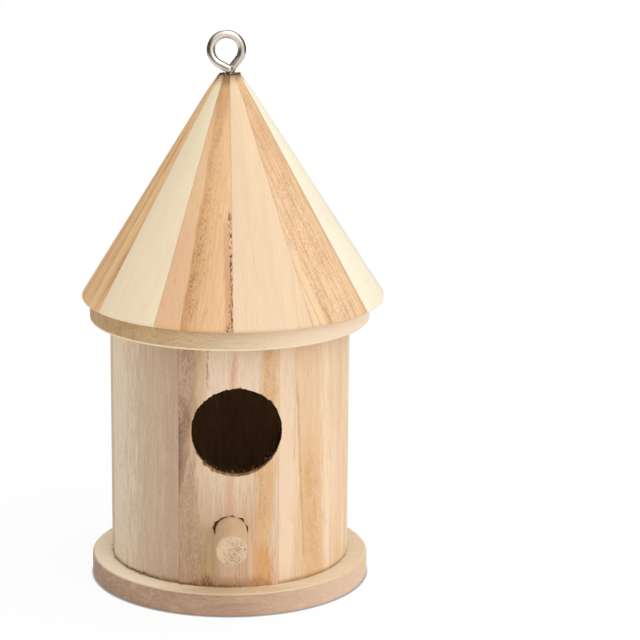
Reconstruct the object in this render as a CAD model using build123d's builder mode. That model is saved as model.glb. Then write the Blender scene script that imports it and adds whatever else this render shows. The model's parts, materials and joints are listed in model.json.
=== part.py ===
"""Round birdhouse: a tube of glued staves on a base board, under a cone roof glued from wedges.

Millimetres, +Z up. The origin is the centre of the base board's underside, and the entrance faces -Y.
An azimuth is measured in degrees from -Y towards +X, so it grows anticlockwise as seen from above.
"""
import os
from math import cos, radians, sin, tan

from build123d import *

# Body: seven staves glued edge to edge into a tube
body_diameter = 80.0
wall_thickness = 6.0
body_height = 81.7
front_stave_start = -28.0
front_stave_angle = 48.0
stave_names = [
    "front_stave",
    "right_front_stave",
    "right_stave",
    "right_back_stave",
    "left_back_stave",
    "left_stave",
    "left_front_stave",
]

# Entrance, bored straight through the front of the tube
entrance_diameter = 29.2
entrance_height = 61.0

# Base and ceiling boards, turned discs with eased edges
base_overhang = 6.7
base_thickness = 7.8
ceiling_overhang = 6.7
ceiling_thickness = 7.1
board_edge_round = 0.8

# Roof: wedges glued edge to edge into a hollow cone
segment_count = 12
roof_turn = -3.4
eave_overhang = 3.6
eave_land = 0.9
eave_round = 0.4
roof_half_angle = 32.1
roof_wall = 11.0
tip_diameter = 8.2

# Perch, a dowel glued through the front stave
perch_diameter = 10.3
perch_reach = 19.7
perch_height = 27.0
perch_azimuth = -2.7
perch_edge_round = 0.7

# Screw eye, bent from one length of wire
wire_diameter = 2.7
loop_inside_diameter = 7.5
loop_offset = 1.2
loop_lean = 37.0
loop_closing_angle = 58.0
loop_end_gap = 0.2
neck_bend_radius = 3.0
neck_rise = 0.1
eye_shank_length = 13.0
eye_point_length = 3.0

# Base screws, countersunk from below into the end grain of the staves
screw_diameter = 2.9
screw_head_diameter = 5.6
screw_length = 20.0
screw_point_length = 3.5
screw_recess = 0.2
screw_slot_width = 0.9
screw_slot_depth = 0.9
staves_per_screw = 2

# Ceiling brads, driven down into the end grain of the staves before the roof goes on
brad_diameter = 1.4
brad_head_diameter = 2.4
brad_head_height = 0.8
brad_length = 20.0

# Room round a pin, screw or dowel in its hole, and past the point of a screw or brad
fit_clearance = 0.05
point_clearance = 0.5

body_radius = body_diameter / 2
inner_radius = body_radius - wall_thickness
wall_middle = body_radius - wall_thickness / 2
base_radius = body_radius + base_overhang
ceiling_radius = body_radius + ceiling_overhang
roof_radius = ceiling_radius + eave_overhang
tip_radius = tip_diameter / 2
wire_radius = wire_diameter / 2
screw_radius = screw_diameter / 2
screw_head_radius = screw_head_diameter / 2
brad_radius = brad_diameter / 2
brad_head_radius = brad_head_diameter / 2

ceiling_bottom = base_thickness + body_height
roof_bottom = ceiling_bottom + ceiling_thickness
roof_slope = tan(radians(roof_half_angle))
tip_top = roof_bottom + eave_land + (roof_radius - tip_radius) / roof_slope

other_stave_angle = (360 - front_stave_angle) / (len(stave_names) - 1)
stave_angles = [front_stave_angle] + [other_stave_angle] * (len(stave_names) - 1)
stave_starts = [front_stave_start + sum(stave_angles[:number]) for number in range(len(stave_names))]
stave_middles = [start + angle / 2 for start, angle in zip(stave_starts, stave_angles)]
screw_azimuths = stave_middles[1::staves_per_screw]
segment_angle = 360 / segment_count

os.makedirs("parts", exist_ok=True)


def outward(azimuth):
    """Level direction that looks straight out of the house at this azimuth."""
    return Vector(sin(radians(azimuth)), -cos(radians(azimuth)), 0)


def section_plane(azimuth):
    """Upright plane through the axis: local x runs outwards and local y runs up."""
    return Plane(origin=(0, 0, 0), x_dir=outward(azimuth), z_dir=outward(azimuth).cross(Vector(0, 0, 1)))


def facing_plane(azimuth, height):
    """Upright plane on the axis that faces outwards at this azimuth and height."""
    return Plane(origin=(0, 0, height), z_dir=outward(azimuth))


def wall_spot(azimuth, height, up):
    """Level plane over the middle of the wall, facing up or down, where a screw or brad goes in."""
    return Plane(origin=outward(azimuth) * wall_middle + Vector(0, 0, height), z_dir=(0, 0, 1 if up else -1))


# Base board
with BuildPart() as base_board:
    with BuildSketch():
        Circle(base_radius)
    extrude(amount=base_thickness)
    fillet(base_board.edges(), radius=board_edge_round)
    with Locations(*[wall_spot(azimuth, 0, up=False) for azimuth in screw_azimuths]):
        CounterSinkHole(
            radius=screw_radius + fit_clearance,
            counter_sink_radius=screw_head_radius + screw_recess + fit_clearance,
            counter_sink_angle=90,
        )
base_board.part.label = "base_board"
export_step(base_board.part, "parts/base_board.step")

# Body staves
screw_bite = screw_recess + screw_length - base_thickness
brad_bite = brad_length - ceiling_thickness
for name, start, angle, middle in zip(stave_names, stave_starts, stave_angles, stave_middles):
    with BuildPart() as stave:
        with BuildSketch(section_plane(start)):
            with Locations((wall_middle, base_thickness + body_height / 2)):
                Rectangle(wall_thickness, body_height)
        revolve(axis=Axis.Z, revolution_arc=angle)
        with BuildSketch(facing_plane(0, entrance_height)):
            Circle(entrance_diameter / 2)
        extrude(amount=base_radius, mode=Mode.SUBTRACT)
        with BuildSketch(facing_plane(perch_azimuth, perch_height)):
            Circle(perch_diameter / 2 + fit_clearance)
        extrude(amount=base_radius, mode=Mode.SUBTRACT)
        with Locations(wall_spot(middle, ceiling_bottom, up=True)):
            Hole(brad_radius + fit_clearance, depth=brad_bite + point_clearance)
        if middle in screw_azimuths:
            with Locations(wall_spot(middle, base_thickness, up=False)):
                Hole(screw_radius + fit_clearance, depth=screw_bite + point_clearance)
    stave.part.label = name
    export_step(stave.part, f"parts/{name}.step")

# Ceiling board
with BuildPart() as ceiling_board:
    with BuildSketch(Plane.XY.offset(ceiling_bottom)):
        Circle(ceiling_radius)
    extrude(amount=ceiling_thickness)
    fillet(ceiling_board.edges(), radius=board_edge_round)
    with Locations(*[wall_spot(azimuth, roof_bottom, up=True) for azimuth in stave_middles]):
        CounterBoreHole(
            radius=brad_radius + fit_clearance,
            counter_bore_radius=brad_head_radius + fit_clearance,
            counter_bore_depth=brad_head_height,
        )
ceiling_board.part.label = "ceiling_board"
export_step(ceiling_board.part, "parts/ceiling_board.step")

# Roof segments, each a wedge of the hollow cone with its share of the bore for the screw eye
eye_bore_radius = wire_radius + fit_clearance
roof_inner_radius = roof_radius + eave_land * roof_slope - roof_wall / cos(radians(roof_half_angle))
bore_bottom = roof_bottom + (roof_inner_radius - eye_bore_radius) / roof_slope
for number in range(segment_count):
    with BuildPart() as roof_segment:
        with BuildSketch(section_plane(roof_turn + number * segment_angle)) as wedge_section:
            with BuildLine():
                Polyline(
                    (roof_inner_radius, roof_bottom),
                    (roof_radius, roof_bottom),
                    (roof_radius, roof_bottom + eave_land),
                    (tip_radius, tip_top),
                    (eye_bore_radius, tip_top),
                    (eye_bore_radius, bore_bottom),
                    close=True,
                )
            make_face()
            fillet(wedge_section.vertices().group_by(Axis.X)[-1], radius=eave_round)
        revolve(axis=Axis.Z, revolution_arc=segment_angle)
    roof_segment.part.label = f"roof_segment_{number + 1:02d}"
    export_step(roof_segment.part, f"parts/roof_segment_{number + 1:02d}.step")

# Perch
with BuildPart() as perch:
    with BuildSketch(facing_plane(perch_azimuth, perch_height).offset(inner_radius)):
        Circle(perch_diameter / 2)
    extrude(amount=wall_thickness + perch_reach)
    fillet(perch.edges().sort_by(Axis.Y)[0], radius=perch_edge_round)
perch.part.label = "perch"
export_step(perch.part, "parts/perch.step")

# Screw eye: up the shank, over to the right, round the loop and back beside the neck
loop_radius = loop_inside_diameter / 2 + wire_radius
lean = radians(loop_lean)
closing = radians(loop_closing_angle)
shank_bottom = tip_top - eye_shank_length
point_top = shank_bottom + eye_point_length
neck_height = tip_top + neck_rise + neck_bend_radius * tan(lean / 2)
loop_height = neck_height + loop_radius * sin(lean) + (loop_radius * cos(lean) - loop_offset) / tan(lean)
loop_start = (loop_radius * cos(lean) - loop_offset, loop_height - loop_radius * sin(lean))
loop_finish = (-loop_offset - loop_radius * cos(closing), loop_height - loop_radius * sin(closing))
wire_end_x = -(wire_radius + loop_end_gap) - wire_radius * cos(closing)
with BuildPart() as screw_eye:
    with BuildLine(Plane.XZ) as wire_path:
        FilletPolyline((0, point_top), (0, neck_height), loop_start, radius=neck_bend_radius)
        CenterArc(
            (-loop_offset, loop_height),
            loop_radius,
            start_angle=-loop_lean,
            arc_size=180 + loop_lean + loop_closing_angle,
        )
        PolarLine(loop_finish, (wire_end_x - loop_finish[0]) / sin(closing), angle=loop_closing_angle - 90)
    with BuildSketch(Plane.XY.offset(point_top)):
        Circle(wire_radius)
    sweep(path=wire_path.line)
    with BuildSketch(Plane.XZ):
        with BuildLine():
            Polyline((0, shank_bottom), (wire_radius, point_top), (0, point_top), close=True)
        make_face()
    revolve(axis=Axis.Z)
screw_eye.part.label = "screw_eye"
export_step(screw_eye.part, "parts/screw_eye.step")

# Base screws: one screw on the axis, head down, then a copy under each of its staves
with BuildPart() as one_screw:
    with BuildSketch(Plane.XZ):
        with BuildLine():
            Polyline(
                (0, screw_recess),
                (screw_head_radius, screw_recess),
                (screw_radius, screw_recess + screw_head_radius - screw_radius),
                (screw_radius, screw_recess + screw_length - screw_point_length),
                (0, screw_recess + screw_length),
                close=True,
            )
        make_face()
    revolve(axis=Axis.Z)
    with BuildSketch(Plane.XY.offset(screw_recess)):
        Rectangle(screw_head_radius, screw_slot_width)
        Rectangle(screw_slot_width, screw_head_radius)
    extrude(amount=screw_slot_depth, mode=Mode.SUBTRACT)
with BuildPart() as base_screws:
    with Locations(*[wall_spot(azimuth, 0, up=True) for azimuth in screw_azimuths]):
        add(one_screw.part)
base_screws.part.label = "base_screws"
export_step(base_screws.part, "parts/base_screws.step")

# Ceiling brads: one brad on the axis, then a copy over each stave
brad_bottom = roof_bottom - brad_length
with BuildPart() as one_brad:
    with BuildSketch(Plane.XZ):
        with BuildLine():
            Polyline(
                (0, brad_bottom),
                (brad_radius, brad_bottom + brad_diameter),
                (brad_radius, roof_bottom - brad_head_height),
                (brad_head_radius, roof_bottom - brad_head_height),
                (brad_head_radius, roof_bottom),
                (0, roof_bottom),
                close=True,
            )
        make_face()
    revolve(axis=Axis.Z)
with BuildPart() as ceiling_brads:
    with Locations(*[wall_spot(azimuth, 0, up=True) for azimuth in stave_middles]):
        add(one_brad.part)
ceiling_brads.part.label = "ceiling_brads"
export_step(ceiling_brads.part, "parts/ceiling_brads.step")

print(f"overall height {loop_height + loop_radius + wire_radius:.1f}, tip of the roof {tip_top:.1f}")
print(f"loop centre {-loop_offset:.2f}, {loop_height:.2f}, roof inner radius {roof_inner_radius:.2f}")
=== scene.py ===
# %% [markdown]
# # A round birdhouse in glued wood
# A tube of seven staves stands on a turned base board, under a ceiling board and a cone roof glued from
# twelve wedges. A dowel perch, a bored entrance and a plated screw eye finish it. This lesson dresses the
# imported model: every wooden piece is remade at its own place with a fine mesh, soft glue lines and its
# own grain. The frame gives all the places, so the lesson starts by loading it.

# %% Load the frame
import json
import math
from collections import namedtuple

import bmesh
import bpy
from mathutils import Matrix, Vector, noise


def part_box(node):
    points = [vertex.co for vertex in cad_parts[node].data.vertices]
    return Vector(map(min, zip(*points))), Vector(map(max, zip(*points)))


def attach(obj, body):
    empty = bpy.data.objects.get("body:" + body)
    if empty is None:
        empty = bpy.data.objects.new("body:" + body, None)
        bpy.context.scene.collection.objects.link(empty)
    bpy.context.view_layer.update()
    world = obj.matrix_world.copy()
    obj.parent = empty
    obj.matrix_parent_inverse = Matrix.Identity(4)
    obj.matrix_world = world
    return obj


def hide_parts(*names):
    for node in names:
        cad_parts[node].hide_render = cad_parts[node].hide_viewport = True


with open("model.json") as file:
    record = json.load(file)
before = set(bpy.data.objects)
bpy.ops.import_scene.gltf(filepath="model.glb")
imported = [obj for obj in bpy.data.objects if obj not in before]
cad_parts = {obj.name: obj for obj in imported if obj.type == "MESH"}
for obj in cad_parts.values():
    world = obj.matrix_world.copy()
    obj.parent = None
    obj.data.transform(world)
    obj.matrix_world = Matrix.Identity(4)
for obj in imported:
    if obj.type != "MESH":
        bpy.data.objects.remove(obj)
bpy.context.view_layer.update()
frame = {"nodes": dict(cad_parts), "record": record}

MM = 0.001

# %% [markdown]
# ## Sizes
# Nothing is measured twice. The radii, heights and glue lines are read from the corners of the packed
# pieces. An azimuth is an angle round the house, from -Y (the front) towards +X (the right).

# %% Sizes read from the frame
HAIR = 0.01 * MM


def corners(node):
    """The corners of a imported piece, in metres."""
    return [vertex.co for vertex in frame["nodes"][node].data.vertices]


def azimuth(spot):
    """Angle round the house, in radians."""
    return math.atan2(spot.x, -spot.y)


def reach(spot):
    """Level distance from the upright axis."""
    return math.hypot(spot.x, spot.y)


def outward(angle):
    """Level direction that looks out of the house at this azimuth."""
    return Vector((math.sin(angle), -math.cos(angle), 0.0))


def sideways(angle):
    """Level direction to the right of a piece that looks out at this azimuth."""
    return Vector((math.cos(angle), math.sin(angle), 0.0))


def flat(radius, height):
    """A point of an outline or a section, drawn in X (radius) and Y (height)."""
    return Vector((radius, height, 0.0))


def slice_of(node):
    """Azimuth where a glued piece starts, and the angle that it sweeps."""
    middle = azimuth(sum(corners(node), Vector()))
    turns = [(azimuth(spot) - middle + math.pi) % (2 * math.pi) - math.pi for spot in corners(node)]
    return middle + min(turns), max(turns) - min(turns)


STAVES = [name for name in frame["nodes"] if name.endswith("_stave")]
WEDGES = sorted(name for name in frame["nodes"] if name.startswith("roof_segment"))

base_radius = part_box("base_board")[1].x
base_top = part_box("base_board")[1].z
ceiling_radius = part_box("ceiling_board")[1].x
ceiling_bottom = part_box("ceiling_board")[0].z
roof_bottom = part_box("ceiling_board")[1].z
body_radius = max(reach(spot) for spot in corners("left_stave"))
inner_radius = min(reach(spot) for spot in corners("left_stave"))
roof_radius = max(reach(spot) for spot in corners(WEDGES[0]))
bore_radius = min(reach(spot) for spot in corners(WEDGES[0]))
tip_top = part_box(WEDGES[0])[1].z
tip_radius = max(reach(spot) for spot in corners(WEDGES[0]) if spot.z > tip_top - HAIR)
roof_inner_radius = min(reach(spot) for spot in corners(WEDGES[0]) if spot.z < roof_bottom + HAIR)
wall = body_radius - inner_radius
print(f"radii in mm: body {body_radius / MM:.1f}, roof {roof_radius / MM:.1f}; tip at {tip_top / MM:.1f} mm")

# %% [markdown]
# ## Small tools
# One function turns a hex colour into the linear numbers that shaders use. One adds a node, sets it and
# links it, in shader trees and Geometry Nodes trees alike. The rest are short names for the nodes that
# come up again and again.

# %% Colour and node helpers


def linear(hex_colour):
    """An sRGB hex colour as linear RGBA."""
    channels = [int(hex_colour[place:place + 2], 16) / 255 for place in (1, 3, 5)]
    return [c / 12.92 if c <= 0.04045 else ((c + 0.055) / 1.055) ** 2.4 for c in channels] + [1.0]


def add(tree, kind, feeds=None, out=0, **settings):
    """Adds a node and returns an output. feeds gives inputs, by number or name, a value or a socket."""
    made = tree.nodes.new(kind)
    for setting, value in settings.items():
        setattr(made, setting, value)
    for place, value in (feeds or {}).items():
        if isinstance(value, bpy.types.NodeSocket):
            tree.links.new(value, made.inputs[place])
        else:
            made.inputs[place].default_value = value
    return made.outputs[out] if made.outputs else None


def calc(tree, operation, *terms):
    """Maths on numbers."""
    return add(tree, "ShaderNodeMath", dict(enumerate(terms)), operation=operation)


def vector_calc(tree, operation, *terms):
    """Maths on vectors."""
    return add(tree, "ShaderNodeVectorMath", dict(enumerate(terms)), operation=operation)


def scaled(tree, vector, factor):
    """A vector times a number."""
    return add(tree, "ShaderNodeVectorMath", {0: vector, "Scale": factor}, operation="SCALE")


def parts_of(tree, vector):
    """The X, Y and Z of a vector, as a node's outputs."""
    return add(tree, "ShaderNodeSeparateXYZ", {0: vector}).node.outputs


def soft_step(tree, value, low, high, before=0.0, after=1.0):
    """A level that goes from before to after while the value goes from low to high, with soft ends."""
    feeds = {"Value": value, 1: low, 2: high, 3: before, 4: after}
    return add(tree, "ShaderNodeMapRange", feeds, interpolation_type="SMOOTHSTEP")


def blend(tree, share, under, over, mode="MIX"):
    """A share of one colour over another."""
    feeds = {0: share, 6: under, 7: over}
    return add(tree, "ShaderNodeMix", feeds, out=2, data_type="RGBA", blend_type=mode)


def squeezed_noise(tree, spot, squeeze, detail):
    """Noise on a spot, finer along each axis by the number that squeeze gives it."""
    squeezed = vector_calc(tree, "MULTIPLY", spot, squeeze)
    return add(tree, "ShaderNodeTexNoise", {"Vector": squeezed, "Scale": 1.0, "Detail": detail})


def new_tree(name, kind, inputs, outputs):
    """An empty node group with named sockets. An input is a name, a socket kind and maybe a default."""
    tree = bpy.data.node_groups.new(name, kind)
    for label, socket_kind, *default in inputs:
        socket = tree.interface.new_socket(label, in_out="INPUT", socket_type="NodeSocket" + socket_kind)
        if default:
            socket.default_value = default[0]
    for label, socket_kind in outputs:
        tree.interface.new_socket(label, in_out="OUTPUT", socket_type="NodeSocket" + socket_kind)
    return tree, tree.nodes.new("NodeGroupInput").outputs


def sockets(kind, *labels):
    """Sockets of one kind, for new_tree."""
    return [(label, kind) for label in labels]


def finish_tree(tree, geometry, given, label):
    """Ends a Geometry Nodes tree: plain geometry, with the given material, goes out under a label."""
    geometry = add(tree, "GeometryNodeRealizeInstances", {"Geometry": geometry})
    geometry = add(tree, "GeometryNodeSetMaterial", {"Geometry": geometry, "Material": given["Material"]})
    add(tree, "NodeGroupOutput", {label: geometry})
    return tree


def new_material(name):
    """A material, and its node tree, emptied."""
    material = bpy.data.materials.new(name)
    material.use_nodes = True
    material.node_tree.nodes.clear()
    return material, material.node_tree


print("helpers ready")

# %% [markdown]
# ## Wood
# The house is made of light, unfinished timber: sanded, matt, with open pores and a fine straight grain.
# Grain is wood cut along its fibres, so every pattern is long in one direction and short in the other
# two. An image of wood would have to be unwrapped onto each piece. Noise that is squeezed across the
# fibres and stretched along them needs no unwrapping, runs right through the piece, and shows end grain
# wherever the piece is cut across. The first group makes the shared grain, in millimetres, on a spot
# whose Z runs along the fibres.

# %% The grain group
DRIFT_SQUEEZE = (0.05, 0.05, 0.016)
RINGS_PER_BAND = 6.0


def grain_group():
    """Wood grain from a spot in millimetres: bands, lines, growth rings, pores, figure and fibres."""
    tree, given = new_tree(
        "wood grain",
        "ShaderNodeTree",
        [("Spot", "Vector"), ("Band", "Float", 4.0), ("Line", "Float", 0.5), ("Wander", "Float", 1.0)],
        sockets("Float", "Band", "Line", "Ring", "Pore", "Figure", "Fibre"),
    )
    drift = squeezed_noise(tree, given["Spot"], DRIFT_SQUEEZE, 2.0)
    drift = calc(tree, "MULTIPLY", calc(tree, "SUBTRACT", drift, 0.5), given["Wander"])
    drift = add(tree, "ShaderNodeCombineXYZ", {"X": drift, "Y": drift})
    spot = vector_calc(tree, "ADD", given["Spot"], drift)

    def stretched(across, along, detail):
        """Noise with spots this many millimetres across the fibres and along them."""
        across = calc(tree, "DIVIDE", 1.0, across)
        shrink = add(tree, "ShaderNodeCombineXYZ", {"X": across, "Y": across, "Z": 1.0 / along})
        return squeezed_noise(tree, spot, shrink, detail)

    band = stretched(given["Band"], along=140.0, detail=1.0)
    line = stretched(given["Line"], along=30.0, detail=2.0)
    patch = stretched(5.0, along=40.0, detail=1.0)
    ring = stretched(given["Band"], along=220.0, detail=0.0)
    ring = calc(tree, "PINGPONG", calc(tree, "MULTIPLY", ring, RINGS_PER_BAND), 1.0)
    pore = stretched(0.32, along=2.6, detail=0.0)
    crowd = stretched(2.2, along=16.0, detail=1.0)
    figure = stretched(7.0, along=17.0, detail=2.0)
    fibre = stretched(0.3, along=7.0, detail=1.0)
    pore = calc(tree, "MULTIPLY", soft_step(tree, pore, 0.62, 0.72), soft_step(tree, crowd, 0.45, 0.6))
    line = calc(tree, "MULTIPLY", soft_step(tree, line, 0.36, 0.66), soft_step(tree, patch, 0.36, 0.62))
    feeds = {
        "Band": soft_step(tree, band, 0.34, 0.66),
        "Line": line,
        "Ring": soft_step(tree, ring, 0.8, 1.0),
        "Pore": pore,
        "Figure": soft_step(tree, figure, 0.35, 0.65),
        "Fibre": soft_step(tree, fibre, 0.3, 0.7),
    }
    add(tree, "NodeGroupOutput", feeds)
    return tree


GRAIN = grain_group()
print("grain group:", len(GRAIN.nodes), "nodes")

# %% [markdown]
# Some marks belong to one piece: a dark streak that narrows to a point, a tan band, a stain by the foot.
# Others are painted light and shade: shade along the foot and deep in the bores, the perch's shadow, and
# sides of boards and staves painted lighter or darker.
# Each is a strip along the fibres with two straight edges, so one group draws them all. `left` and
# `right` say where its edges lie, in millimetres across the piece: one number, or a pair for the strip's
# low end and its high end. `low` and `high` are its ends along the fibres. `edge` and `fade` say how soft
# the edges and the ends are, and `broken` how far the strip breaks up into specks, `speck` millimetres
# wide and fewer as `bare` goes up.

# %% The streak group
Streak = namedtuple(
    "Streak",
    "colour left right low high edge fade strength broken speck bare",
    defaults=(1.0, 4.0, 1.0, 0.0, 0.43, 0.51),
)
EDGE_ENDS = ("Left low", "Left high", "Right low", "Right high")
STREAK_NUMBERS = Streak._fields[3:]
RAGGED_SQUEEZE = (0.9, 0.9, 0.11)
CROWD_SQUEEZE = (0.45, 0.45, 0.13)
SPECK_SHAPE = 0.35
SPECK_SOFTNESS = 0.09
CROWDING = 0.4


def streak_group():
    """Lays one strip of another colour over the wood, in millimetres across and along the fibres."""
    numbers = (*EDGE_ENDS, *[label.capitalize() for label in STREAK_NUMBERS])
    tree, given = new_tree(
        "streak",
        "ShaderNodeTree",
        [*sockets("Color", "Colour", "Streak"), ("Spot", "Vector"), *sockets("Float", *numbers)],
        [("Colour", "Color"), ("Mask", "Float")],
    )
    ragged = squeezed_noise(tree, given["Spot"], RAGGED_SQUEEZE, 2.0)
    wobble = calc(tree, "MULTIPLY", calc(tree, "SUBTRACT", ragged, 0.5), given["Edge"])
    axes = parts_of(tree, given["Spot"])
    across = calc(tree, "MULTIPLY_ADD", wobble, 2.0, axes["X"])
    along = axes["Z"]

    def edge_place(side):
        """Where an edge lies at this spot, between its places at the low end and the high end."""
        feeds = {"Value": along, 1: given["Low"], 2: given["High"]}
        feeds.update({3: given[side + " low"], 4: given[side + " high"]})
        return add(tree, "ShaderNodeMapRange", feeds)

    gaps = (
        (across, edge_place("Left"), "Edge"),
        (edge_place("Right"), across, "Edge"),
        (along, given["Low"], "Fade"),
        (given["High"], along, "Fade"),
    )
    mask = given["Strength"]
    for further, nearer, run in gaps:
        gap = calc(tree, "DIVIDE", calc(tree, "SUBTRACT", further, nearer), given[run])
        mask = calc(tree, "MULTIPLY", mask, soft_step(tree, gap, -0.5, 0.5))
    fine = calc(tree, "DIVIDE", 1.0, given["Speck"])
    long = calc(tree, "DIVIDE", SPECK_SHAPE, given["Speck"])
    shrink = add(tree, "ShaderNodeCombineXYZ", {"X": fine, "Y": fine, "Z": long})
    speck = squeezed_noise(tree, given["Spot"], shrink, 2.0)
    crowd = calc(tree, "SUBTRACT", squeezed_noise(tree, given["Spot"], CROWD_SQUEEZE, 1.0), 0.5)
    speck = calc(tree, "MULTIPLY_ADD", crowd, CROWDING, speck)
    speck = calc(tree, "SUBTRACT", speck, given["Bare"])
    speck = soft_step(tree, speck, -SPECK_SOFTNESS, SPECK_SOFTNESS)
    speck = add(tree, "ShaderNodeMix", {0: given["Broken"], 2: 1.0, 3: speck})
    mask = calc(tree, "MULTIPLY", mask, speck)
    colour = blend(tree, mask, given["Colour"], given["Streak"])
    add(tree, "NodeGroupOutput", {"Colour": colour, "Mask": mask})
    return tree


STREAK = streak_group()
print("streak group:", len(STREAK.nodes), "nodes")

# %% [markdown]
# A wood is then a place for its fibres, a few tones and the strength of each pattern. `lay` gives the
# place: where the millimetres start, which way the fibres run and which way the piece faces. A glued
# piece also carries an attribute named glue, which is 1 along its glue lines and 0 elsewhere, and the
# wood darkens there.

# %% The wood function
GLUE_COLOUR = "#7E5C3E"
GLUE_STRENGTH = 0.22
SEED_STEPS = (31.0, 17.0, 211.0)
RELIEF_DEPTH = 0.2 * MM
ROUGH_SPREAD = 0.06
Lay = namedtuple("Lay", "spot turn")
Tones = namedtuple("Tones", "main pale dark blush")


def lay(spot, along, facing):
    """Place and turn of a grain whose Z runs along the fibres and whose -Y faces out of the piece."""
    along = along.normalized()
    inward = -(facing - along * facing.dot(along)).normalized()
    across = inward.cross(along)
    return Lay(spot, Matrix((across, inward, along)).transposed().to_euler())


def both_ends(edge):
    """A streak's edge at the low end and the high end. One number stands for both."""
    return edge if isinstance(edge, tuple) else (edge, edge)


def wood(name, place, tones, band=4.0, line=0.5, wander=1.0, bands=0.6, lines=0.3, rings=0.0, pores=0.3,
         figure=0.4, fibres=0.25, streaks=(), seed=0.0, roughness=0.62, relief=0.25, depth=1.0, shine=0.35):
    """Sanded, unfinished timber: matt, with soft bands, fine lines and open pores along the fibres."""
    material, tree = new_material(name)
    spot = add(tree, "ShaderNodeTexCoord", out="Object")
    feeds = {"Vector": spot, "Location": place.spot, "Rotation": place.turn, "Scale": (MM, MM, MM)}
    spot = add(tree, "ShaderNodeMapping", feeds, vector_type="TEXTURE")
    start = tuple(seed * step for step in SEED_STEPS)
    moved = vector_calc(tree, "MULTIPLY_ADD", spot, (1.0, depth, 1.0), start)
    feeds = {"Spot": moved, "Band": band, "Line": line, "Wander": wander}
    grain = add(tree, "ShaderNodeGroup", feeds, node_tree=GRAIN).node.outputs
    layers = (
        ("Band", bands, tones.pale),
        ("Figure", figure, tones.blush),
        ("Line", lines, tones.dark),
        ("Ring", rings, tones.dark),
        ("Fibre", fibres, tones.dark),
    )
    colour = linear(tones.main)
    for label, strength, tone in layers:
        if strength > 0.0:
            colour = blend(tree, calc(tree, "MULTIPLY", grain[label], strength), colour, linear(tone))
    for streak in streaks:
        feeds = {"Colour": colour, "Streak": linear(streak.colour), "Spot": spot}
        feeds.update(zip(EDGE_ENDS, both_ends(streak.left) + both_ends(streak.right)))
        feeds.update((label.capitalize(), getattr(streak, label)) for label in STREAK_NUMBERS)
        colour = add(tree, "ShaderNodeGroup", feeds, node_tree=STREAK)
    glue = add(tree, "ShaderNodeAttribute", out="Fac", attribute_name="glue")
    colour = blend(tree, calc(tree, "MULTIPLY", glue, GLUE_STRENGTH), colour, linear(GLUE_COLOUR))
    pore = calc(tree, "MULTIPLY", grain["Pore"], pores)
    colour = blend(tree, pore, colour, linear(tones.dark), "MULTIPLY")
    height = calc(tree, "SUBTRACT", grain["Fibre"], grain["Pore"])
    normal = add(tree, "ShaderNodeBump", {"Strength": relief, "Distance": RELIEF_DEPTH, "Height": height})
    feeds = {"Value": grain["Line"], 3: roughness - ROUGH_SPREAD, 4: roughness + ROUGH_SPREAD}
    rough = add(tree, "ShaderNodeMapRange", feeds)
    feeds = {"Base Color": colour, "Roughness": rough, "Normal": normal}
    feeds.update({"IOR": 1.5, "Specular IOR Level": shine})
    surface = add(tree, "ShaderNodeBsdfPrincipled", feeds)
    add(tree, "ShaderNodeOutputMaterial", {"Surface": surface})
    return material


print("wood ready")

# %% [markdown]
# ## Metal
# The screw eye is bent from bright nickel-plated steel wire, and the screws are zinc plated. Plating is
# smooth, so the look comes from what it mirrors, with faint drawing lines and a little tarnish to break
# the mirror up.

# %% The metal function
TARNISH_SIZE = 6.0 * MM
SCUFF_DEPTH = 0.05 * MM


def plated(name, colour, tarnish, roughness, spread, grit):
    """Plated steel: a mirror with faint scuffs, grit wide, that dull it from roughness up by spread."""
    material, tree = new_material(name)
    spot = add(tree, "ShaderNodeTexCoord", out="Object")
    scuff = add(tree, "ShaderNodeTexNoise", {"Vector": spot, "Scale": 1.0 / grit, "Detail": 3.0})
    cloud = add(tree, "ShaderNodeTexNoise", {"Vector": spot, "Scale": 1.0 / TARNISH_SIZE, "Detail": 2.0})
    dull = add(tree, "ShaderNodeMapRange", {"Value": cloud, 1: 0.45, 2: 0.7, 4: 0.5})
    tint = blend(tree, dull, linear(colour), linear(tarnish))
    feeds = {"Value": scuff, 1: 0.35, 2: 0.7, 3: roughness, 4: roughness + spread}
    rough = add(tree, "ShaderNodeMapRange", feeds)
    normal = add(tree, "ShaderNodeBump", {"Strength": 0.02, "Distance": SCUFF_DEPTH, "Height": scuff})
    feeds = {"Base Color": tint, "Metallic": 1.0, "Roughness": rough, "Normal": normal}
    surface = add(tree, "ShaderNodeBsdfPrincipled", feeds)
    add(tree, "ShaderNodeOutputMaterial", {"Surface": surface})
    return material


NICKEL = plated("bright nickel plate", "#DCD3C6", "#B09A86", roughness=0.27, spread=0.04, grit=1.5 * MM)
ZINC = plated("zinc plate", "#B9BBB8", "#8C8A80", roughness=0.28, spread=0.14, grit=0.2 * MM)
print("metals:", NICKEL.name, "and", ZINC.name)

# %% [markdown]
# ## Slices of a turning
# Staves, wedges and boards all follow one rule: a flat section is carried round the upright axis, for a
# part of the turn or for all of it. Spinning a mesh would do, but a Geometry Nodes tree keeps the rule in
# view: the section is drawn out into a bar, and Set Position bends the bar round the axis. The steps
# crowd towards the two glued ends, where the tree rounds the edge into a fine groove, because a sanded
# glue line always shows as one, and where it stores the attribute that darkens the wood.

# %% The turned slice tree
WAVE_SIZE = 14.0 * MM
MERGE = 0.002 * MM


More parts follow.
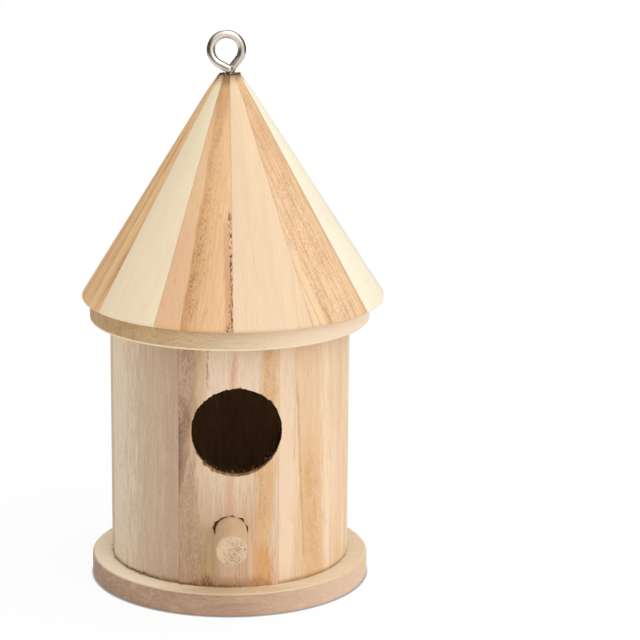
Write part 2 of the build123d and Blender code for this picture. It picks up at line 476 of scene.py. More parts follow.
def turned_slice_tree():
    """Carries a section, drawn in X (radius) and Y (height), round the Z axis from Start through Sweep."""
    tree, given = new_tree(
        "turned slice",
        "GeometryNodeTree",
        [
            ("Section", "Geometry"),
            *sockets("Float", "Start", "Sweep"),
            ("Steps", "Int", 48),
            ("Glued ends", "Bool", True),
            *sockets("Float", "Groove width", "Groove depth", "Wave"),
            ("Material", "Material"),
        ],
        [("Piece", "Geometry")],
    )

    def stored(geometry, label, value, **settings):
        """Keeps a value on the geometry's points, under a name."""
        feeds = {"Geometry": geometry, "Name": label, "Value": value}
        return add(tree, "GeometryNodeStoreNamedAttribute", feeds, **settings)

    def if_glued(value, otherwise):
        """One value for a glued slice and another for a whole turning."""
        feeds = {"Switch": given["Glued ends"], "False": otherwise, "True": value}
        return add(tree, "GeometryNodeSwitch", feeds, input_type="FLOAT")

    section = add(tree, "GeometryNodeMeshToCurve", {"Mesh": given["Section"]})
    section = stored(section, "section", add(tree, "GeometryNodeInputPosition"), data_type="FLOAT_VECTOR")
    bar = add(tree, "GeometryNodeCurvePrimitiveLine", {"End": (0.0, 0.0, 1.0)})
    bar = add(tree, "GeometryNodeResampleCurve", {"Curve": bar, "Count": given["Steps"]})
    bar = stored(bar, "share", add(tree, "GeometryNodeSplineParameter"))
    feeds = {"Curve": bar, "Profile Curve": section, "Fill Caps": given["Glued ends"]}
    bar = add(tree, "GeometryNodeCurveToMesh", feeds)

    share = add(tree, "GeometryNodeInputNamedAttribute", {"Name": "share"})
    crowded = calc(tree, "COSINE", calc(tree, "MULTIPLY", share, math.pi))
    share = if_glued(calc(tree, "MULTIPLY_ADD", crowded, -0.5, 0.5), share)
    angle = calc(tree, "MULTIPLY_ADD", share, given["Sweep"], given["Start"])
    spot = add(tree, "GeometryNodeInputNamedAttribute", {"Name": "section"}, data_type="FLOAT_VECTOR")
    axes = parts_of(tree, spot)
    radius, height = axes["X"], axes["Y"]

    near = calc(tree, "MINIMUM", share, calc(tree, "SUBTRACT", 1.0, share))
    near = calc(tree, "MULTIPLY", calc(tree, "MULTIPLY", near, given["Sweep"]), radius)
    groove = soft_step(tree, near, 0.0, given["Groove width"], given["Groove depth"], 0.0)
    glue = soft_step(tree, near, 0.0, given["Groove width"], 1.0, 0.0)
    sunk = calc(tree, "SUBTRACT", radius, if_glued(groove, 0.0))
    bar = stored(bar, "glue", if_glued(glue, 0.0))

    right = calc(tree, "MULTIPLY", sunk, calc(tree, "SINE", angle))
    front = calc(tree, "MULTIPLY", sunk, calc(tree, "COSINE", angle))
    feeds = {"X": right, "Y": calc(tree, "MULTIPLY", front, -1.0), "Z": height}
    bent = add(tree, "ShaderNodeCombineXYZ", feeds)
    piece = add(tree, "GeometryNodeSetPosition", {"Geometry": bar, "Position": bent})

    ripple = add(tree, "ShaderNodeTexNoise", {"Scale": 1.0 / WAVE_SIZE, "Detail": 1.0}, out="Color")
    ripple = vector_calc(tree, "SUBTRACT", ripple, (0.5, 0.5, 0.5))
    level = vector_calc(tree, "MULTIPLY", scaled(tree, ripple, given["Wave"]), (1.0, 1.0, 0.0))
    piece = add(tree, "GeometryNodeSetPosition", {"Geometry": piece, "Offset": level})
    piece = add(tree, "GeometryNodeMergeByDistance", {"Geometry": piece, "Distance": MERGE})
    for label in ("section", "share"):
        piece = add(tree, "GeometryNodeRemoveAttribute", {"Geometry": piece, "Name": label})
    return finish_tree(tree, piece, given, "Piece")


TURNED_SLICE = turned_slice_tree()
print("turned slice tree:", len(TURNED_SLICE.nodes), "nodes")

# %% [markdown]
# A tree runs as a modifier on a carrier, here the section's outline. The result is then settled: the
# evaluated mesh becomes the object's own and the modifier goes, because the export and the frame want
# plain meshes.

# %% Outlines, settling and cutting
SMOOTH_ANGLE = math.radians(35)
WELD = 0.001 * MM


def settle(piece, was_cut=False):
    """Turns a piece and its modifiers into one plain mesh with outward faces and sharp turns.

    A cut piece is split into triangles, and those that hang on by a single edge go: they have no thickness.
    """
    graph = bpy.context.evaluated_depsgraph_get()
    mesh = bpy.data.meshes.new_from_object(piece.evaluated_get(graph))
    piece.modifiers.clear()
    piece.data = mesh
    work = bmesh.new()
    work.from_mesh(mesh)
    bmesh.ops.remove_doubles(work, verts=work.verts, dist=WELD)
    if was_cut:
        bmesh.ops.triangulate(work, faces=work.faces)
        flaps = [face for face in work.faces if sum(edge.is_boundary for edge in face.edges) == 2]
        bmesh.ops.delete(work, geom=flaps, context="FACES")
    bmesh.ops.recalc_face_normals(work, faces=work.faces)
    work.to_mesh(mesh)
    work.free()
    mesh.polygons.foreach_set("use_smooth", [True] * len(mesh.polygons))
    mesh.set_sharp_from_angle(angle=SMOOTH_ANGLE)
    return piece


def new_object(name, data):
    """An object for a mesh, a lamp or a camera, in the scene, at the origin."""
    piece = bpy.data.objects.new(name, data)
    bpy.context.scene.collection.objects.link(piece)
    return piece


def chain(name, points, closed):
    """A mesh of edges through the points, for a tree to read as a curve."""
    mesh = bpy.data.meshes.new(name)
    links = [(place, place + 1) for place in range(len(points) - 1)]
    if closed:
        links.append((len(points) - 1, 0))
    mesh.from_pydata([tuple(point) for point in points], links, [])
    return mesh


def run_tree(name, tree, mesh, **values):
    """Runs a tree on a carrier mesh, with its inputs set by their identifiers, and settles the result."""
    piece = new_object(name, mesh)
    modifier = piece.modifiers.new(tree.name, "NODES")
    modifier.node_group = tree
    known = {item.name.lower().replace(" ", "_"): item.identifier for item in tree.interface.items_tree}
    for label, value in values.items():
        modifier[known[label]] = value
    return settle(piece)


def spaced(points, step, closed):
    """The outline's points with more between them, so that no edge is much longer than the step."""
    ends = points[1:] + points[:1] if closed else points[1:]
    filled = []
    for first, last in zip(points, ends):
        count = max(1, round((last - first).length / step))
        filled += [first.lerp(last, place / count) for place in range(count)]
    return filled if closed else filled + [points[-1]]


def eased(corner, before, after, radius, count=5):
    """Points of the arc that eases a corner between its two neighbours."""
    to_before = (before - corner).normalized()
    to_after = (after - corner).normalized()
    half = to_before.angle(to_after) / 2
    middle = corner + (to_before + to_after).normalized() * radius / math.sin(half)
    start = corner + to_before * radius / math.tan(half)
    finish = corner + to_after * radius / math.tan(half)
    arms = [(start - middle).slerp(finish - middle, place / count) for place in range(count + 1)]
    return [middle + arm.normalized() * radius for arm in arms]


def cut(piece, cutter):
    """Cuts the cutter's shape out of the piece. The cut faces take the cutter's material."""
    modifier = piece.modifiers.new("cut", "BOOLEAN")
    modifier.operation = "DIFFERENCE"
    modifier.solver = "EXACT"
    modifier.material_mode = "TRANSFER"
    modifier.object = cutter
    return settle(piece, was_cut=True)


def join(piece, extra):
    """Adds another object's mesh and materials to the piece, and removes that object."""
    first = len(piece.data.materials)
    work = bmesh.new()
    work.from_mesh(piece.data)
    known = len(work.faces)
    work.from_mesh(extra.data)
    work.faces.ensure_lookup_table()
    for face in work.faces[known:]:
        face.material_index += first
    work.to_mesh(piece.data)
    work.free()
    for material in extra.data.materials:
        piece.data.materials.append(material)
    bpy.data.objects.remove(extra)


print("carriers ready")

# %% [markdown]
# ## Base and ceiling boards
# Both boards are turned discs, their edges eased with sandpaper. The open outline of half a board, from the
# middle of its underside to the middle of its top, is carried all the way round. The rim shows the board's
# sawn edge, so it gets a darker, pinker wood than the top. The thin light line round each rim is a painted
# highlight: one eased edge of each board gets a paler wood, the upper one of the base and the lower one of
# the ceiling. The rims are painted lighter towards the right, where the lamp stands. The base's top is
# painted lighter on its left, where the house shades it, and has painted shade along its front.

# %% The two boards
BOARD_EASE = 0.8 * MM
BOARD_STEPS = 241
OUTLINE_STEP = 1.5 * MM
SANDING_WAVE = 0.1 * MM
RIM_SLOPE = 0.8
FLAT_SLOPE = 0.95
WIDE = 99.0
FAR = 300.0
UP = Vector((0.0, 0.0, 1.0))
ACROSS = Vector((1.0, 0.0, 0.0))
FRONT = Vector((0.0, -1.0, 0.0))


def turned(name, outline, material, steps=BOARD_STEPS, wave=SANDING_WAVE, step=OUTLINE_STEP):
    """A whole turning: an open outline, from axis to axis, carried all the way round."""
    mesh = chain(name + "_outline", spaced(outline, step, False), False)
    values = {"start": 0.0, "sweep": 2 * math.pi, "steps": steps, "glued_ends": False}
    return run_tree(name, TURNED_SLICE, mesh, wave=wave, material=material, **values)


def paint_where(piece, material, test):
    """Gives a second material to the faces that pass the test."""
    piece.data.materials.append(material)
    place = len(piece.data.materials) - 1
    for face in piece.data.polygons:
        if test(face):
            face.material_index = place


def board(node, radius, low, high, top_wood, rim_wood, edge_wood, edge_from, edge_side):
    """A turned disc with eased edges, whose rim shows the sawn edge.

    One eased edge gets a paler wood as a painted highlight, at the top (edge_side 1) or the bottom (-1),
    from the slope edge_from on.
    """
    inside_low, rim_low = flat(0.0, low), flat(radius, low)
    rim_high, inside_high = flat(radius, high), flat(0.0, high)
    low_arc = eased(rim_low, inside_low, rim_high, BOARD_EASE)
    high_arc = eased(rim_high, rim_low, inside_high, BOARD_EASE)
    outline = [inside_low, *low_arc, *high_arc, inside_high]
    piece = turned("shaped_" + node, outline, top_wood)
    paint_where(piece, rim_wood, lambda face: abs(face.normal.z) < RIM_SLOPE)
    paint_where(piece, edge_wood, lambda face: edge_from < face.normal.z * edge_side < FLAT_SLOPE)
    return piece


def painted_light_across(colour, start, finish, run, strength):
    """Painted light: a change of tone between two places from left to right, for a board whose grain runs
    that way.
    """
    return Streak(colour, -WIDE, WIDE, start, finish, 1.0, run, strength)


base_lay = lay(Vector(), ACROSS, UP)
ceiling_lay = lay(UP * ceiling_bottom, ACROSS, UP)
board_tones = Tones("#E7D6B8", "#EDDEC4", "#CFB48E", "#E9D4BE")
rim_tones = Tones("#B6957A", "#C8AA8C", "#8E6E54", "#C09A82")
ceiling_tones = Tones("#C9A774", "#DABA86", "#94774A", "#D0AA7C")
board_wood = wood(
    "basswood board", base_lay, board_tones, band=6.0, bands=0.4, lines=0.3, pores=0.1, fibres=0.35,
    streaks=(
        # Painted light: the base's top is lighter on its left, where the house shades it.
        painted_light_across("#FFEED2", -FAR, -14.0, 50.0, 0.95),
        # Painted shade: the front of the base's top is darker, next to the foot of the tube.
        Streak("#D0B088", 40.0, WIDE, -FAR, FAR, 5.0, 1.0, 0.5),
    ),
    seed=1.0,
)
# Painted highlight: the paler wood of the eased edges, on the upper edge of the base and the lower edge of
# the ceiling.
highlight_edge_tones = Tones("#E0C8A2", "#E8D2B0", "#D0B288", "#E0C4A4")
edge_wood = wood("basswood, eased edge", base_lay, highlight_edge_tones, pores=0.1, seed=1.5)
low_highlight_edge_tones = Tones("#F4E0BC", "#F8E6C8", "#E2C89E", "#F4DCBC")
low_highlight_edge_wood = wood("basswood, eased lower edge", ceiling_lay, low_highlight_edge_tones, pores=0.1, seed=1.7)
# Painted light: the base's rim is lighter towards the right, where the lamp stands.
rim_wood = wood(
    "basswood board rim", base_lay, rim_tones, band=2.5, line=1.0, bands=0.8, lines=0.4, pores=0.15,
    figure=0.8, streaks=(painted_light_across("#E2C4A8", 20.0, FAR, 60.0, 0.85),), seed=2.0,
)
# Painted light: the ceiling's rim is lighter towards the right, where the lamp stands.
ceiling_wood = wood(
    "basswood ceiling rim", ceiling_lay, ceiling_tones, band=1.6, wander=3.0, bands=0.5, lines=0.5,
    rings=0.5, pores=0.1, streaks=(painted_light_across("#F7E0C4", -4.0, FAR, 76.0, 0.95),), seed=3.0,
)
base_piece = board(
    "base_board", base_radius, 0.0, base_top, board_wood, rim_wood, edge_wood, edge_from=0.5, edge_side=1
)
ceiling_piece = board(
    "ceiling_board", ceiling_radius, ceiling_bottom, roof_bottom, board_wood, ceiling_wood, low_highlight_edge_wood,
    edge_from=0.1, edge_side=-1,
)
print("boards:", len(base_piece.data.polygons), "and", len(ceiling_piece.data.polygons), "faces")

# %% [markdown]
# ## Staves
# The tube was glued from seven staves and then turned and sanded round, so the wood changes at each glue
# line while the surface runs on. Each stave is one slice with its own grain. Seen through the entrance
# the inside is dark: it was never sanded, and little light gets in.

# %% The seven staves
GROOVE_WIDTH = 0.35 * MM
GROOVE_DEPTH = 0.06 * MM
FOOT_EASE = 0.15 * MM
CHIP_DEPTH = 1.3 * MM
CHIP_HEIGHT = 1.5 * MM
CHIP_ROWS = (0.45, 0.7, 1.0)
CHIP_COARSE = 1.7 * MM
CHIP_FINE = 0.7 * MM
CHIP_LEAST = 0.05
CHIP_TOP = 0.9
CHIP_TURN = 0.1
SKIN = 1.0 * MM
INSIDE_ROOM = 0.3 * MM
SLICE_STEPS = 81
SECTION_STEP = 1.1 * MM


def glued(node, section, material):
    """One glued slice of the house: its closed section, swept over the node's own angle."""
    start, sweep = slice_of(node)
    mesh = chain(node + "_section", spaced(section, SECTION_STEP, True), True)
    values = {"start": start, "sweep": sweep, "steps": SLICE_STEPS, "glued_ends": True, "material": material}
    values.update(groove_width=GROOVE_WIDTH, groove_depth=GROOVE_DEPTH, wave=SANDING_WAVE)
    return run_tree("shaped_" + node, TURNED_SLICE, mesh, **values)


def stave_lay(node):
    """Grain of a stave: millimetres up from its foot, and across from the middle of its width."""
    start, sweep = slice_of(node)
    return lay(UP * base_top, UP, outward(start + sweep / 2))


foot_inside, foot_outside = flat(inner_radius, base_top), flat(body_radius, base_top)
head_outside, head_inside = flat(body_radius, ceiling_bottom), flat(inner_radius, ceiling_bottom)
stave_section = [
    foot_inside,
    *eased(foot_outside, foot_inside, head_outside, FOOT_EASE),
    *[flat(body_radius, base_top + CHIP_HEIGHT * share) for share in CHIP_ROWS],
    head_outside,
    head_inside,
]

# Dark bands along the foot of the staves: partly a stain, partly painted shade where the staves meet the
# base.
FOOT_STAINS_AND_SHADE = {
    "left": Streak("#74502E", -30.0, 30.0, -1.0, 1.1, 1.0, 1.4, 0.8, 0.35),
    "front": Streak("#84572F", -30.0, 2.0, -1.0, 0.9, 6.0, 1.2, 0.8, 0.35),
    "right": Streak("#9A6C3C", -30.0, 30.0, -1.0, 1.0, 1.0, 1.6, 0.75, 0.2),
}
grey_tones = Tones("#D3B99C", "#DCC8AC", "#B4987C", "#D2B39B")
front_tones = Tones("#E2C7A9", "#ECD7BC", "#BE9974", "#E5BA9E")
peach_tones = Tones("#EACBA6", "#F3DEC2", "#CFA67A", "#EEC8AA")
left_streaks = (
    # The first two streaks are painted light: the stave is lighter on its left side, as if light fell from
    # the left.
    Streak("#DDC8AC", -22.0, 1.2, -4.0, 86.0, 1.5, 2.0, 0.35),
    Streak("#EAD7BA", -22.0, -3.0, -4.0, 86.0, 14.0, 2.0, 0.8),
    Streak("#B09278", (11.0, 12.0), 22.0, -4.0, 86.0, 8.0, 2.0, 0.5, 0.2),
    Streak("#A68A6E", -24.0, 24.0, -4.0, 86.0, 1.0, 2.0, 0.2, 1.0, 0.5, 0.55),
)
front_streaks = (
    Streak("#A68466", -18.0, (-7.5, -11.0), -2.0, 44.0, 3.0, 10.0, 0.7, 0.4),
    Streak("#A27E60", -18.0, (-17.0, -12.8), 26.0, 46.0, 0.8, 3.0, 0.9, 0.1),
    Streak("#AE8A6C", -18.0, (-12.9, -10.6), 44.0, 64.0, 1.6, 3.0, 0.85, 0.15),
    Streak("#B8967A", -18.0, (-10.7, -9.0), 62.0, 86.0, 2.2, 3.0, 0.85, 0.15),
    Streak("#86603F", -18.0, (-12.6, -9.6), 52.0, 86.0, 2.6, 6.0, 0.4, 1.0, 0.5),
    Streak("#7C5840", -18.0, (-17.0, -12.4), 28.0, 58.0, 1.0, 6.0, 0.5, 0.3, 0.5),
    Streak("#6A4630", -18.0, (-16.4, -13.4), 33.0, 62.0, 1.6, 8.0, 0.5, 1.0, 0.4),
    Streak("#F8E4CA", -8.0, 19.0, 44.0, 99.0, 6.0, 34.0, 0.4),
    Streak("#C9A678", (-13.0, -10.4), (-8.5, -6.7), 46.0, 86.0, 1.6, 14.0, 0.6, 0.2),
    Streak("#8A5E36", -7.2, -6.3, 68.0, 86.0, 0.6, 6.0, 0.6, 0.8, 0.6),
    Streak("#A87C48", -19.0, 8.0, -9.0, 30.0, 8.0, 24.0, 0.2),
    Streak("#D79A78", (-1.1, 1.0), (1.4, 3.4), 20.0, 84.0, 1.8, 8.0, 0.45, 0.35),
    Streak("#B86A48", (0.2, 1.2), (1.4, 2.6), 58.0, 84.0, 1.4, 8.0, 0.35, 0.9, 0.3),
    Streak("#DAA86E", (8.2, 10.2), (13.4, 17.0), -2.0, 86.0, 3.0, 4.0, 0.7, 0.25),
    Streak("#B4743E", (9.2, 11.4), (12.4, 15.6), 22.0, 86.0, 2.0, 8.0, 0.3, 1.0, 0.35),
    Streak("#CF9450", (8.4, 8.8), (15.6, 13.0), -2.0, 14.0, 2.4, 5.0, 0.6, 0.3),
    # Painted shadow of the perch, on the wood to its left and below it.
    Streak("#B08C58", (-9.6, -9.4), (-3.0, -4.0), 2.0, 21.0, 2.2, 6.0, 0.55, 0.3),
    Streak("#9A6436", (-16.0, -10.0), (18.0, 12.0), -3.0, 3.0, 2.0, 3.5, 0.6, 0.35),
    Streak("#6E3C1C", (-9.0, -8.4), (-5.0, -5.6), -2.0, 3.8, 0.8, 3.0, 0.8, 0.8),
)
right_streaks = (
    Streak("#EED2B4", -18.5, (-13.0, -12.2), -4.0, 86.0, 1.6, 2.0, 0.6),
    Streak("#E2BA8E", (-8.4, -11.4), (1.2, -1.6), -4.0, 86.0, 2.8, 2.0, 0.5, 0.35),
    Streak("#D9A874", (-8.2, -9.4), (1.2, -0.6), -4.0, 48.0, 2.2, 24.0, 0.6, 0.3),
    Streak("#AD7E50", (-8.5, -11.7), (-7.8, -11.0), 8.0, 68.0, 0.7, 8.0, 0.6, 0.35),
    Streak("#B88450", (-6.0, -8.0), (-1.0, -3.0), 4.0, 40.0, 2.0, 14.0, 0.35, 1.0, 0.35),
    Streak("#F2DABC", (2.0, 0.0), (4.6, 3.0), -4.0, 86.0, 2.4, 2.0, 0.5),
    Streak("#E2BC90", (4.8, 4.2), (6.0, 5.4), -4.0, 86.0, 1.6, 2.0, 0.35, 0.3),
    Streak("#E2BC90", 10.2, 11.4, -4.0, 86.0, 1.6, 2.0, 0.35, 0.3),
)


def back_streaks(middle):
    """Streaks for a stave at the side or back: a tan band with specks, and a fainter band beside it."""

    def near(*steps):
        """An edge at these steps from the middle of the band."""
        return tuple(middle + step for step in steps)

    return (
        Streak("#D2A577", near(-3.0, -1.0), near(2.0, 3.0), -4.0, 86.0, 3.0, 2.0, 0.6, 0.3),
        Streak("#9C6E48", near(-2.0, 0.0), near(1.0, 2.0), 8.0, 80.0, 2.0, 20.0, 0.35, 1.0, 0.35),
        Streak("#E2BE98", near(7.0, 6.0), near(9.0, 9.0), -4.0, 86.0, 2.5, 2.0, 0.4, 0.3),
    )


stave_looks = {
    "front_stave": (
        front_tones, front_streaks, dict(band=3.2, bands=0.5, lines=0.45, pores=0.25, fibres=0.35)
    ),
    "right_front_stave": (peach_tones, right_streaks, dict(band=5.0, lines=0.4, pores=0.15, fibres=0.35)),
    "left_front_stave": (
        grey_tones, left_streaks, dict(band=6.0, bands=0.3, lines=0.25, pores=0.05, fibres=0.35)
    ),
    "right_stave": (peach_tones, back_streaks(2.0), dict(bands=0.8, lines=0.4)),
    "right_back_stave": (front_tones, back_streaks(-6.0), dict(bands=0.8, lines=0.5, rings=0.2)),
    "left_back_stave": (peach_tones, back_streaks(7.0), dict(bands=0.7, lines=0.4)),
    "left_stave": (grey_tones, back_streaks(-1.0), dict(bands=0.7, lines=0.4)),
}
stave_woods = {}
for number, (node, (tones, streaks, look)) in enumerate(stave_looks.items()):
    foot = FOOT_STAINS_AND_SHADE[node.split("_")[0]]
    stave_woods[node] = wood(
        f"paulownia, {node}", stave_lay(node), tones, streaks=(*streaks, foot), seed=4.0 + number, **look
    )
inside_tones = Tones("#BE9670", "#CCA47E", "#947052", "#B48A68")
inside_lay = lay(UP * base_top, UP, FRONT)
inside_wood = wood("paulownia, rough inside", inside_lay, inside_tones, lines=0.6, roughness=0.8, seed=7.5)


def faces_inside(face):
    """True on the inner face of a stave."""
    facing = face.normal.dot(outward(azimuth(face.center)))
    return reach(face.center) < inner_radius + INSIDE_ROOM and facing < -0.5


def chip_foot(piece):
    """Breaks small chips out of the foot's outer edge, more of them on the left, where the saw came out."""
    for vertex in piece.data.vertices:
        spot = vertex.co
        rise = (spot.z - base_top) / CHIP_HEIGHT
        if rise > CHIP_TOP or reach(spot) < body_radius - SKIN:
            continue
        share = CHIP_LEAST + (1.0 - CHIP_LEAST) * max(0.0, math.sin(-azimuth(spot) + CHIP_TURN))
        chip = noise.noise(spot / CHIP_COARSE) + 0.6 * noise.noise(spot / CHIP_FINE) + 0.3 - 0.5 * rise
        spot -= outward(azimuth(spot)) * max(0.0, chip) * share * CHIP_DEPTH


stave_pieces = {}
for node in STAVES:
    stave_pieces[node] = glued(node, stave_section, stave_woods[node])
    paint_where(stave_pieces[node], inside_wood, faces_inside)
    chip_foot(stave_pieces[node])
print("staves:", ", ".join(stave_pieces))

# %% [markdown]
# ## Entrance and perch bores
# A spade bit made the entrance. It left a slightly ragged rim: small bites along the top, where it tore
# out short fibres, and a lifted lip at the lower left. The perch sits in a bore that is a little too
# wide, so a dark gap shows over it. Both bores are cut with a boolean, and the cutter carries the rim:
# its rows follow the round outside of the tube, so a bite stays at the rim and the bore stays true
# further in. The hole was bored 0.4 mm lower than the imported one.

# %% Cutters for the bores
BITES = 0.5 * MM
NICKS = 1.1 * MM
BITE_DEPTH = 0.35 * MM
LIP = 0.8 * MM
LIP_DEPTH = 0.9 * MM
LIP_PLACE, LIP_WIDTH = 232, 18
SCRAPE = 0.12 * MM
SCRAPE_RUN = 1.5 * MM
RIM_EASE = 0.1 * MM
PERCH_GAPS = ((157, 25, 1.2), (118, 16, 0.4), (86, 7, 0.55), (51, 9, 0.9), (14, 14, 0.5))
PERCH_GAP_DEPTH = 0.8 * MM
PERCH_FIT = 0.03
BORE_DEPTHS = (-2.0, -0.5, -0.1, 0.05, 0.15, 0.3, 0.5, 0.8, 1.2, 1.8, 2.6, 3.6, 4.8, 6.2, 9.0)
BORE_COLUMNS = 288
CUTTER_OUT = 6 * MM
CUTTER_IN = 14 * MM

entrance_radius = 14.6 * MM
entrance_height = 60.6 * MM
perch_low, perch_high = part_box("perch")
perch_angle = azimuth(sum(corners("perch"), Vector()))
perch_axis = outward(perch_angle)
perch_height = (perch_low.z + perch_high.z) / 2
perch_radius = (perch_high.z - perch_low.z) / 2
perch_root = min(spot.dot(perch_axis) for spot in corners("perch"))
perch_end = max(spot.dot(perch_axis) for spot in corners("perch"))


def hump(turn, middle, width):
    """A soft hump of height 1 at an angle in degrees, width degrees wide."""
    away = (math.degrees(turn) - middle + 180) % 360 - 180
    return math.exp(-((away / width) ** 2))


def ragged(turn, rate, *place):
    """Noise along a rim, this many spots to a radian, at a place of its own in the noise."""
    return noise.noise(Vector((turn * rate, *place)))


def entrance_rim(turn, depth):
    """Radius of the entrance at a turn (0 is right, a quarter turn is up) and a depth below the outside."""
    at_rim = math.exp(-max(depth, 0.0) / BITE_DEPTH)
    at_lip = math.exp(-max(depth, 0.0) / LIP_DEPTH)
    bites = max(0.0, ragged(turn, 6.0, 0.3, 1.7)) * BITES
    nicks = max(0.0, ragged(turn, 15.0, 2.3, 0.7)) * NICKS
    upper = 0.3 + 0.7 * max(0.0, math.sin(turn))
    lip = hump(turn, LIP_PLACE, LIP_WIDTH) * (0.6 + ragged(turn, 9.0, 4.1, 0.2)) * LIP
    scrape = ragged(turn, 26.0, depth / SCRAPE_RUN, 5.0) * SCRAPE
    return entrance_radius + at_rim * (RIM_EASE + (bites + nicks) * upper) + at_lip * max(0.0, lip) + scrape


def perch_bore(turn, depth):
    """Radius of the perch's bore, with the gaps that show over the dowel."""
    gap = sum(hump(turn, middle, width) * height for middle, width, height in PERCH_GAPS)
    uneven = 1.0 + 0.4 * ragged(turn, 6.0, 2.0, 0.5)
    closing = math.exp(-max(depth, 0.0) / PERCH_GAP_DEPTH)
    return perch_radius + (PERCH_FIT + gap * uneven * closing) * MM


def bore_cutter(name, angle, height, radius_at, material):
    """A cutter on a level axis, whose rows lie at set depths below the round outside of the tube."""
    side = sideways(angle)
    columns = BORE_COLUMNS
    work = bmesh.new()
    rings = []
    for depth in BORE_DEPTHS:
        ring = []
        for column in range(columns):
            turn = 2 * math.pi * column / columns
            radius = radius_at(turn, depth * MM)
            across, rise = radius * math.cos(turn), radius * math.sin(turn)
            out = math.sqrt(body_radius ** 2 - across ** 2) - depth * MM
            ring.append(work.verts.new(outward(angle) * out + side * across + UP * (height + rise)))
        rings.append(ring)
    for near, far in zip(rings, rings[1:]):
        for column in range(columns):
            after = (column + 1) % columns
            work.faces.new((near[column], near[after], far[after], far[column]))
    for ring, out in ((rings[0], body_radius + CUTTER_OUT), (rings[-1], inner_radius - CUTTER_IN)):
        hub = work.verts.new(outward(angle) * out + UP * height)
        for column in range(columns):
            work.faces.new((ring[column], ring[(column + 1) % columns], hub))
    bmesh.ops.recalc_face_normals(work, faces=work.faces)
    mesh = bpy.data.meshes.new(name)
    work.to_mesh(mesh)
    work.free()
    mesh.materials.append(material)
    return new_object(name, mesh)


bore_tones = Tones("#B0824E", "#DDB888", "#74491F", "#A87444")
bore_shade = Streak("#2A1A0F", -WIDE, WIDE, 2.6, 60.0, 1.0, 3.4, 0.97)
bore_lay = lay(FRONT * body_radius + UP * entrance_height, -FRONT, UP)
bore_wood = wood(
    "paulownia, bored", bore_lay, bore_tones, band=1.2, bands=0.8, lines=0.6, pores=0.5,
    streaks=(bore_shade,), roughness=0.8, relief=0.6, seed=8.0, shine=0.05,
)
chipped_tones = Tones("#8A623A", "#A27A50", "#563820", "#805832")
chipped_wood = wood("paulownia, chipped", bore_lay, chipped_tones, shine=0.1, seed=8.5)
entrance_cutter = bore_cutter("entrance_cutter", 0.0, entrance_height, entrance_rim, bore_wood)
perch_cutter = bore_cutter("perch_cutter", perch_angle, perch_height, perch_bore, chipped_wood)
cut(stave_pieces["front_stave"], perch_cutter)
for node in ("front_stave", "right_front_stave"):
    cut(stave_pieces[node], entrance_cutter)
for cutter in (entrance_cutter, perch_cutter):
    bpy.data.objects.remove(cutter)
print("bored:", len(stave_pieces["front_stave"].data.polygons), "faces on the front stave")

# %% [markdown]
# ## Holes for the base screws
# Three countersunk screws come up through the base board, each into the foot of one stave. Their holes
# show from below, and the holes in the staves show when the base is off. One lathe outline makes the
# cutter for each screw.

# %% Screw holes
SCREW_STAVES = ("right_front_stave", "right_back_stave", "left_stave")
SCREW_ROOM = 0.15 * MM
DRILL_STEPS = 49
screw_low, screw_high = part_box("base_screws")
screw_circle = (body_radius + inner_radius) / 2
screw_spots = [outward(start + sweep / 2) * screw_circle for start, sweep in map(slice_of, SCREW_STAVES)]
first_screw = [spot for spot in corners("base_screws") if reach(spot - screw_spots[0]) < 2 * wall]
head_radius = max(reach(spot - screw_spots[0]) for spot in first_screw)
shank_radius = max(reach(spot - screw_spots[0]) for spot in first_screw if spot.z > base_top)
hole_outline = [
    flat(0.0, -wall),
    flat(head_radius + SCREW_ROOM, -wall),
    flat(head_radius + SCREW_ROOM, screw_low.z),
    flat(shank_radius + SCREW_ROOM, screw_low.z + head_radius - shank_radius),
    flat(shank_radius + SCREW_ROOM, screw_high.z + SCREW_ROOM),
    flat(0.0, screw_high.z + SCREW_ROOM),
]
for node, spot in zip(SCREW_STAVES, screw_spots):
    drill = turned("drill", hole_outline, bore_wood, steps=DRILL_STEPS, wave=0.0)
    drill.data.transform(Matrix.Translation(spot))
    cut(base_piece, drill)
    cut(stave_pieces[node], drill)
    bpy.data.objects.remove(drill)
print(f"screw heads {2 * head_radius / MM:.1f} mm wide, {len(screw_spots)} holes")

# %% [markdown]
# ## Perch
# The perch is a length of dowel, sawn off and only roughly cleaned up. Its side shows straight grain and
# its end shows end grain: a dense scribble of pores. A lathe outline gives the eased rim, and a little
# noise on the end leaves the marks of the saw.

# %% The perch
PERCH_EASE = 0.9 * MM
PERCH_WAVE = 0.12 * MM
PERCH_STEPS = 97
PERCH_STEP = 0.5 * MM
SAW_MARKS = 0.2 * MM
SAW_SIZE = 0.9 * MM
END_SLOPE = 0.7


def dowel():
    """The perch: a turned dowel with an eased rim and a rough sawn end, laid along its axis."""
    root, root_rim = flat(0.0, perch_root), flat(perch_radius, perch_root)
    end_rim, end = flat(perch_radius, perch_end), flat(0.0, perch_end)
    outline = [root, root_rim, *eased(end_rim, root_rim, end, PERCH_EASE), end]
    piece = turned("shaped_perch", outline, perch_wood, steps=PERCH_STEPS, wave=PERCH_WAVE, step=PERCH_STEP)
    for vertex in piece.data.vertices:
        if vertex.co.z > perch_end - PERCH_EASE:
            vertex.co.z += (noise.noise(vertex.co / SAW_SIZE) - 0.8) * SAW_MARKS
    side = sideways(perch_angle)
    turn = Matrix((side, perch_axis.cross(side), perch_axis)).transposed().to_4x4()
    piece.data.transform(Matrix.Translation(UP * perch_height) @ turn)
    paint_where(piece, perch_end_wood, lambda face: face.normal.dot(perch_axis) > END_SLOPE)
    return piece


